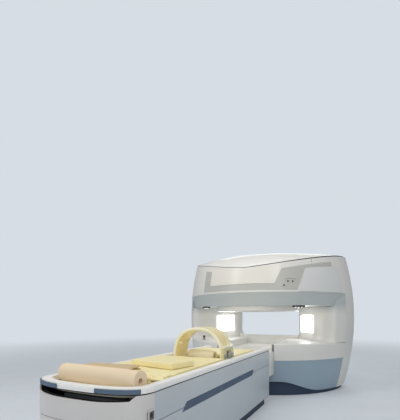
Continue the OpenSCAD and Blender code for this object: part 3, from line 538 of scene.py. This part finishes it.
def crumple_end(mesh, y_end, reach, depth, above):
    """Deep short wrinkles in the last stretch of a pad, strongest toward its right corner."""
    for vertex in mesh.vertices:
        near = 1 - min(1.0, max(0.0, (vertex.co.y - y_end) / reach))
        if vertex.co.z > above and near > 0:
            side = 0.35 + 0.65 * min(1.0, max(0.0, vertex.co.x / 0.25))
            p = Vector((vertex.co.x * 17, vertex.co.y * 26 + vertex.co.x * 9, 7.7))
            ridge = 1 - min(1.0, abs(noise.noise(p)) * 3.2)
            vertex.co.z -= depth * near ** 0.7 * side * ridge


def welt(name, outline, z, radius, material, body):
    """A welded seam bead that follows a closed outline."""
    rings = []
    count = len(outline)
    for i in range(count + 1):
        p, q = Vector(outline[i % count]), Vector(outline[(i + 1) % count])
        before = Vector(outline[(i - 1) % count])
        along = (q - before).normalized()
        out = Vector((along.y, -along.x, 0))
        rings.append([Vector((p.x, p.y, z)) + radius * (math.cos(a) * out + math.sin(a) * Vector((0, 0, 1)))
                      for a in (math.radians(45 * k) for k in range(8))])
    return add_piece(name, swept(name, rings, caps=False), material, body)


def rounded_outline(x0, x1, y0, y1, radius, steps=5):
    points = []
    for cx, cy, start in ((x1 - radius, y1 - radius, 0), (x0 + radius, y1 - radius, 90),
                          (x0 + radius, y0 + radius, 180), (x1 - radius, y0 + radius, 270)):
        for k in range(steps + 1):
            a = math.radians(start + 90 * k / steps)
            points.append(Vector((cx + radius * math.cos(a), cy + radius * math.sin(a), 0)))
    return points


def make_soft_pieces(cream, tan, pillow):
    # The long pad, one length on each side of the coil
    gap = COIL_LEN / 2 + 0.016
    for name, y0, y1, seed in (("long_pad_foot", PAD_FOOT_END, COIL_Y - gap, 1.3),
                               ("long_pad_head", COIL_Y + gap, PAD_HEAD_END, 4.1)):
        size = (2 * PAD_HALF - 0.006, y1 - y0, PAD_T - 0.001)
        mesh = subdivided(cage(name, size, 0.011, (8, 14, 1)), 3)
        placed(mesh, (0, (y0 + y1) / 2, BOARD_TOP + PAD_T / 2))
        crease(mesh, 0.004, 6.5, seed, BOARD_TOP + PAD_T * 0.75)
        crumple_end(mesh, PAD_FOOT_END, 0.20, 0.016, BOARD_TOP + PAD_T * 0.55)
        soft_piece(name, mesh, cream, "table_pad")
        edge = rounded_outline(-PAD_HALF + 0.0032, PAD_HALF - 0.0032, y0 + 0.0004, y1 - 0.0004, 0.012)
        welt(name + "_seam", edge, BOARD_TOP + PAD_T * 0.62, 0.0022, cream, "tabletop")

    top = BOARD_TOP + PAD_T + FIT
    block = subdivided(cage("foam_block", (0.416, 0.246, 0.0405), 0.0045, (6, 5, 2)), 2)
    mesh = inflated(block, voxel=0.005, pressure=2, cap=0.0018)
    placed(subdivide_in_place(mesh), (0.070, -2.645, top + 0.022), -12)
    keep_above(mesh, top)
    soft_piece("foam_block_cover", mesh, cream, "foam_block")

    soft_piece("folded_pad_cover", folded_sheet(top), tan, "folded_pad")

    base_top = BOARD_TOP + BASE_H + FIT
    mesh = inflated(roll_mesh(), voxel=0.006, pressure=4, cap=0.004)
    placed(subdivide_in_place(mesh), (COIL_X - 0.010, COIL_Y + 0.015, base_top + 0.042), -16)
    keep_above(mesh, base_top)
    soft_piece("head_roll_cover", mesh, pillow, "head_roll")


def soft_piece(name, mesh, material, node):
    piece = add_piece(name, mesh, material, "tabletop")
    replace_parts(piece, node)


def subdivide_in_place(mesh):
    """One smooth subdivision, kept in the same mesh."""
    finer = subdivided(mesh.copy(), 1)
    work = bmesh.new()
    work.from_mesh(finer)
    work.to_mesh(mesh)
    work.free()
    return mesh


def roll_mesh():
    """A bolster with rounded ends and a deep hole in its right end."""
    radius, half = 0.044, 0.158
    # (place along the roll, radius): left end, body, right end, then down into the hole
    profile = [(-half, 0.020), (-half + 0.002, 0.034), (-half + 0.010, 0.042), (-half + 0.03, radius),
               (-0.08, radius), (0, radius), (0.08, radius), (half - 0.03, radius),
               (half - 0.010, 0.042), (half - 0.002, 0.036), (half, 0.029), (half - 0.004, 0.022),
               (half - 0.020, 0.019), (half - 0.045, 0.018), (half - 0.070, 0.016)]
    angles = [math.radians(15 * k) for k in range(24)]
    rings = [[Vector((x, r * math.cos(a), r * math.sin(a))) for a in angles] for x, r in profile]
    return swept("head_roll", rings)


def folded_sheet(top):
    """A thin pad folded once on itself, its upper layer a little shorter."""
    path = []
    low, high, fold = 0.0098, 0.0292, -0.066
    for i in range(13):
        path.append((0.066 - 0.132 * i / 12, high + 0.0010 * math.sin(i * 1.1)))
    for k in range(1, 8):
        a = math.radians(90 + 180 * k / 8)
        path.append((fold + 0.0100 * math.cos(a), (low + high) / 2 + 0.0097 * math.sin(a)))
    for i in range(13):
        path.append((fold + 0.147 * i / 12, low))
    rings = []
    half = 0.0090
    for i, (y, z) in enumerate(path):
        a, b = path[max(i - 1, 0)], path[min(i + 1, len(path) - 1)]
        length = math.hypot(b[0] - a[0], b[1] - a[1])
        ny, nz = -(b[1] - a[1]) / length, (b[0] - a[0]) / length
        taper = 0.55 if i in (0, len(path) - 1) else 1
        ring = []
        for side in (1, -1):
            stations = [(-0.198, 0.4), (-0.192, 1), (-0.06, 1.03),
                        (0.07, 0.97), (0.192, 1), (0.198, 0.4)][::side]
            ring += [Vector((x, y + side * ny * half * s * taper, z + side * nz * half * s * taper))
                     for x, s in stations]
        rings.append(ring)
    mesh = subdivided(swept("folded_pad", rings), 2)
    placed(mesh, (-0.125, -2.990, top), 6)
    keep_above(mesh, top)
    return mesh


def make_paper_roll(paper):
    """Couch paper on its tube: the turns show on the ends, and the free edge lies along the roll."""
    half, radius, core = 0.3095, 0.0578, 0.0170
    flat, sides, edge = 0.0568, 48, 9
    ends = [(-half, core + 0.0006)]
    turns = 11
    for k in range(turns + 1):
        r = core + 0.002 + (radius - core - 0.004) * k / turns
        ends.append((-half + (0.0006 if k % 2 else 0.0), r))
    profile = ends + [(-half + 0.001, radius), (-half * 0.5, radius), (0, radius), (half * 0.5, radius)]
    profile += [(-x, r) for x, r in reversed(ends + [(-half + 0.001, radius)])]
    profile += [(half - 0.03, core), (0, core), (-half + 0.03, core)]
    angles = [math.radians(360 / sides * k) for k in range(sides)]
    rings = [[Vector((x, r * math.sin(a) * (1 if r < radius else 1 + 0.004 * (k == edge)),
                      max(-flat, r * math.cos(a)))) for k, a in enumerate(angles)] for x, r in profile]
    mesh = swept("paper_roll_turns", rings + [rings[0]], caps=False)
    placed(mesh, (0, -3.215, BOARD_TOP + FIT + 0.057), -4)
    roll = add_piece("paper_roll_turns", mesh, paper, "tabletop")
    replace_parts(roll, "paper_roll")


# ---------------------------------------------------------------- receive coil
def arch_point(angle, a, b):
    t = math.radians(angle)
    return signed_pow(math.cos(t), 2 / ARCH_POWER) * a, signed_pow(math.sin(t), 2 / ARCH_POWER) * b


def make_coil(ivory, pale, foot, grey):
    """The arch as one moulded skin: two proud end bands, a ribbed middle and rounded edges."""
    half = COIL_LEN / 2
    band, proud, groove = 0.034, 0.003, 0.0075
    # (place along the table, depth under the outer line), then back along the inner face
    edge = [(half - 0.003, 0.0045), (half - 0.0065, 0.0010), (half - 0.012, 0.0), (half - band + 0.003, 0.0),
            (half - band, 0.0015), (half - band - 0.002, groove), (half - band - 0.010, groove),
            (half - band - 0.012, proud + 0.001), (half - band - 0.015, proud), (0.034, proud),
            (0.031, proud + 0.002), (0.028, proud)]
    outer = [(-y, d) for y, d in edge] + edge[::-1]
    inner = [(half - 0.0005, 0.012), (half - 0.0005, COIL_WALL - 0.009), (half - 0.004, COIL_WALL - 0.003),
             (half - 0.010, COIL_WALL), (-half + 0.010, COIL_WALL), (-half + 0.004, COIL_WALL - 0.003),
             (-half + 0.0005, COIL_WALL - 0.009), (-half + 0.0005, 0.012)]
    rings = []
    for k in range(61):
        angle = 180 * k / 60
        rings.append([Vector((COIL_X + p[0], COIL_Y + y, ARCH_Z + max(0.0, p[1]))) for y, d in outer + inner
                      for p in [arch_point(angle, COIL_HALF - d, ARCH_H - d)]])
    shell = swept("coil_arch_shell", rings)
    arch = add_piece("coil_arch_shell", shell, ivory, "tabletop")
    shell.materials.append(pale)
    for face in shell.polygons:
        if abs(face.normal.y) > 0.7:
            face.material_index = 1
    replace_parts(arch, "coil_arch")
    for i, y in enumerate((-0.070, 0.070)):
        dome = [[Vector((COIL_X - COIL_HALF + COIL_WALL - 0.002 + x, COIL_Y + y + r * math.cos(a),
                         ARCH_Z + 0.128 + r * math.sin(a)))
                 for a in (math.radians(20 * j) for j in range(18))]
                for x, r in ((0, 0.012), (0.036, 0.012), (0.041, 0.0100), (0.0435, 0.005), (0.044, 0.001))]
        knob = add_piece(f"coil_knob_{i}", swept(f"coil_knob_{i}", dome), pale, "tabletop")
        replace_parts(knob, "coil_arch")
    ledge = cage("coil_ledge", (0.016, 0.098, 0.008), 0.002, (1, 4, 1))
    placed(ledge, (COIL_X + COIL_HALF - 0.003, COIL_Y, HOOK_Z - 0.004))
    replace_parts(add_piece("coil_ledge", ledge, ivory, "tabletop", bevel=0.001), "coil_arch")

    # The thicker foot of the arch on the latch's side: body in painted shade under the pale rim, the rim, a
    # clip on each side of the latch
    face_x, low_z, mid_z, rim_z = COIL_X + COIL_HALF, ARCH_Z, 0.7240, 0.7520
    blocks = [("coil_foot_front", -0.0880, 0.0680, low_z, mid_z),
              ("coil_foot_rear", 0.0880, 0.0680, low_z, mid_z),
              ("coil_foot_band", 0.0, 2 * half + 0.004, mid_z - 0.001, rim_z)]
    for name, y, wide, z0, z1 in blocks:
        block = cage(name, (0.024, wide, z1 - z0), 0.002, (1, 2, 2))
        placed(block, (face_x - 0.001, COIL_Y + y, (z0 + z1) / 2))
        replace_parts(add_piece(name, block, foot, "tabletop", bevel=0.0015), "coil_arch")
    lip = placed(cage("coil_foot_rim", (0.034, 2 * half + 0.008, 0.013), 0.002, (1, 4, 1)),
                 (face_x - 0.003, COIL_Y, rim_z + 0.006))
    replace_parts(add_piece("coil_foot_rim", lip, pale, "tabletop", bevel=0.003), "coil_arch")
    for i, y in enumerate((-0.086, 0.086)):
        clip = placed(cage(f"coil_clip_{i}", (0.008, 0.046, 0.034), 0.0015, (1, 2, 2)),
                      (face_x + 0.0140, COIL_Y + y, low_z + 0.024))
        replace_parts(add_piece(f"coil_clip_{i}", clip, grey, "tabletop", bevel=0.0015), "coil_arch")


# ---------------------------------------------------------------- trim
def oval(cx, cy, rx, ry, z, turn, count=40):
    """Points of an oval that lies level, its long side turned by an angle in degrees."""
    c, s = math.cos(math.radians(turn)), math.sin(math.radians(turn))
    points = []
    for k in range(count):
        a = math.tau * k / count
        x, y = rx * math.cos(a), ry * math.sin(a)
        points.append(Vector((cx + x * c - y * s, cy + x * s + y * c, z)))
    return points


def make_downlight(name, side, dark, glass, lamp):
    """An oval lamp under the housing: dark bezel, clear lens and three small lamps in it."""
    x, y, turn = side * 0.655, -0.330, side * 38
    long, short = 0.088, 0.040
    top = CEILING_Z - 0.0002
    bezel = [oval(x, y, long * f, short * f + 0.004 * (f - 1), top - drop, turn)
             for f, drop in ((1, 0), (1, 0.013), (0.96, 0.019),
                             (0.88, 0.021), (0.84, 0.016), (0.80, 0.012))]
    add_piece(name + "_bezel", swept(name + "_bezel", bezel), dark, "gantry")
    lens = [oval(x, y, long * f, short * f, top - drop, turn)
            for f, drop in ((0.79, 0.0122), (0.78, 0.0150), (0.60, 0.0185), (0.30, 0.0198))]
    add_piece(name + "_lens", swept(name + "_lens", lens), glass, "gantry")
    c, s = math.cos(math.radians(turn)), math.sin(math.radians(turn))
    for i, along in enumerate((-0.045, 0.0, 0.045)):
        dot = [oval(x + along * c, y + along * s, r, r, top - drop, 0, 16)
               for r, drop in ((0.009, 0.0150), (0.009, 0.0215), (0.006, 0.0240), (0.002, 0.0246))]
        add_piece(f"{name}_lamp_{i}", swept(f"{name}_lamp_{i}", dot), lamp, "gantry")


def bezel_ring(name, outline, inner, x0, x1, material, body):
    """A flat frame round a square socket in the table's side, from x0 out to x1."""
    def at(points, x):
        return [Vector((x, SOCKET_Y + p.x, SOCKET_Z + p.y)) for p in points]
    lip, half = 0.0012, 0.03
    shrunk = [p * (1 - lip / half) for p in outline]
    grown = [p * (1 + lip / half) for p in inner]
    rings = [at(inner, x0), at(outline, x0), at(outline, x1 - lip),
             at(shrunk, x1), at(grown, x1), at(inner, x1 - lip)]
    return add_piece(name, swept(name, rings + [rings[0]], caps=False), material, body)


def make_trim(white, dark, shadow, grey, glass, lamp):
    """The painted shadow in the gap under the brow, the rear jambs, small marks, the downlights and the
    socket's bezel.
    """
    # A dark strip painted as the shadow in the gap under the brow's lip: it widens toward the right and tapers
    # off at its end
    first, last, steps = 202, 349, 98
    line = [(t, brow(t) - 0.0015) for t in (first + (last - first) * i / steps for i in range(steps + 1))]
    strip_on_skin("brow_gap_shadow", line,
                  lambda s: (0.0028 + 0.0094 * max(0, s - 0.42)) * min(1, 0.15 + 9 * (1 - s)),
                  0.0012, shadow)

    # Jambs that close the step between the side shells and the column covers at the back
    levels = [0.681 + 0.487 * k / 12 for k in range(13)]
    corners = ((34.9, 0.0345), (34.9, 0.0105), (34.0, 0.0105), (34.0, 0.0345))
    for name, flip in (("right_rear_jamb", 1), ("left_rear_jamb", -1)):
        rings = [[Vector((flip * x, y, z)) for x, y in (rim(t, barrel(z) + inset) for t, inset in corners)]
                 for z in levels]
        add_piece(name, swept(name, rings), white, "gantry")

    # Upright joint between the brow and the inlay, right of the keys
    t = front_angle(0.852)
    joint = [(t, brow(t) - 0.005 - 0.073 * k / 6) for k in range(7)]
    strip_on_skin("brow_joint", joint, 0.0011, 0.0007, shadow)

    # Thin curved mark over the keys
    places = [0.522 + 0.128 * k / 16 for k in range(17)]
    mark = [(front_angle(x), 1.4985 + 0.012 * math.sin(math.pi * k / 16) ** 0.5)
            for k, x in enumerate(places)]
    strip_on_skin("key_mark", mark, 0.0013, 0.0040, dark, sunk=-0.0030)

    make_downlight("right_downlight", 1, dark, glass, lamp)
    make_downlight("left_downlight", -1, dark, glass, lamp)

    outer = rounded_outline(-0.031, 0.031, -0.031, 0.031, 0.009)
    inner = rounded_outline(-0.0232, 0.0232, -0.0232, 0.0232, 0.0012)
    bezel_ring("socket_bezel", outer, inner, TABLE_HALF + 0.0001, TABLE_HALF + 0.0032, grey, "tub")


def make_all():
    make_camera()
    white = plastic("gantry_white", (236, 234, 228))
    ivory = plastic("panel_ivory", (240, 236, 226), rough=0.32)
    # The columns' tops are painted the chamfer's grey as shade under the housing
    column_white_painted_shade = shaded_top_plastic("column_white_painted_shade", (236, 234, 228), (196, 203, 202), 1.06, 1.20)
    soft_grey = plastic("inlay_grey", (196, 195, 188), rough=0.45, grain=900, bump=0.2)
    raised = plastic("raised_white", (228, 229, 226), rough=0.34)
    # The skirt's own pale blue-grey, darkened further as painted shade of the low band
    skirt_blue_and_shade = plastic("skirt_grey", (158, 178, 192), rough=0.40)
    # The chamfer is the housing's white painted darker as the shade on its downward face
    chamfer_shade_grey = plastic("chamfer_painted_shade", (198, 204, 202), rough=0.36)
    table_grey = plastic("table_grey", (198, 206, 211), rough=0.40)
    foot_warm = plastic("foot_cover_warm", (222, 218, 214), rough=0.38)
    rim_white = plastic("rim_white", (250, 249, 245), rough=0.42, bump=0.0, coat=0.1, vary=0.01)
    slate = textured_plastic("slate_blue", (78, 98, 122))
    grip_slate = textured_plastic("grip_slate", (92, 114, 134))
    plinth = textured_plastic("plinth_slate", (52, 70, 94))
    dark = rubber("dark_rubber", (38, 41, 46))
    # Black for the seals and seam lines, and the painted shadow in the gap under the brow
    shadow = rubber("black_seal_and_gap_shadow", (22, 24, 28), 0.8)
    key_grey = plastic("key_grey", (92, 94, 96), rough=0.4)
    latch_grey = plastic("latch_grey", (164, 164, 154), rough=0.35)
    steel = metal("machined_steel", (176, 180, 184))
    painted_steel = plastic("painted_steel", (120, 124, 128), rough=0.5, bump=0.3, grain=200)
    iron = metal("magnet_iron", (128, 130, 134), rough=0.45)
    copper = metal("copper_resin", (186, 122, 74), rough=0.4)
    resin = plastic("coil_resin", (190, 150, 70), rough=0.3, coat=0.5)
    coil = plastic("coil_plastic", (250, 231, 172), rough=0.3, coat=0.4)
    # A darker copy of the coil's ivory: painted shade on the foot blocks under the pale rim
    coil_foot = plastic("coil_foot", (226, 216, 166), rough=0.4)
    coil_pale = plastic("coil_pale", (250, 247, 222), rough=0.3)
    cream = vinyl("cream_vinyl", (254, 240, 183))
    pillow = vinyl("pillow_vinyl", (252, 243, 212))
    tan = vinyl("tan_vinyl", (214, 189, 140))
    board = plastic("board_cream", (240, 234, 214), rough=0.35)
    paper = plastic("couch_paper", (246, 224, 191), rough=0.85, grain=260, bump=0.10, coat=0.0, vary=0.03)
    lit = lit_diffuser("lit_panel", 5.0)
    spot = lit_diffuser("downlight_lamp", 2.2)
    glass = plastic("downlight_lens", (58, 62, 70), rough=0.12, bump=0.02, coat=1.0)

    make_studio()
    dress("top_cover upper_front_shell left_side_shell right_side_shell", white)
    dress("rear_upper_cover rear_lower_cover upper_pole_cover lower_deck", white)
    dress("upper_ceiling left_lower_fascia right_lower_fascia", white)
    dress("left_column_cover right_column_cover", column_white_painted_shade)
    dress("upper_chamfer", chamfer_shade_grey)
    dress("dock_cover", white, 0.006)
    dress("name_panel", ivory)
    dress("fascia_inlay", soft_grey)
    dress("right_raised_panel", raised)
    dress("lower_skirt", skirt_blue_and_shade)
    dress("floor_plinth", plinth)
    dress("light_panels", lit, 0.003)
    dress("light_button fan_button table_button", key_grey)
    dress("stop_ring", latch_grey, 0.0015)
    dress("stop_button", dark, 0.001)
    dress("lower_yoke_plate upper_yoke_plate yoke_posts", painted_steel, 0.004)
    dress("magnet_discs pole_pieces", iron, 0.002)
    dress("gradient_coils", resin, 0.002)
    dress("rf_coils", copper, 0.001)
    dress("levelling_feet", steel, 0.001)
    dress("skirt_panels tub_panels", table_grey, 0.0015)
    dress("lower_foot_cover upper_foot_cover", foot_warm, 0.0015)
    dress("side_stripes", slate)
    dress("foot_grips", grip_slate, 0.003)
    dress("table_rim", rim_white, 0.005)
    dress("rim_seal tub_liner", shadow)
    dress("toe_kick", plinth)
    dress("side_socket", key_grey, 0.0015)
    dress("table_floor_frame lift_outer_columns lift_frame", painted_steel, 0.002)
    dress("lift_inner_columns slide_rails", steel, 0.001)
    dress("cradle_board", board, 0.004)
    dress("cradle_runners", key_grey, 0.001)
    dress("coil_base", coil_pale, 0.003)
    dress("coil_latch", latch_grey, 0.002)

    make_soft_pieces(cream, tan, pillow)
    make_paper_roll(paper)
    make_coil(coil, coil_pale, coil_foot, latch_grey)
    make_trim(white, dark, shadow, foot_warm, glass, spot)


make_all()
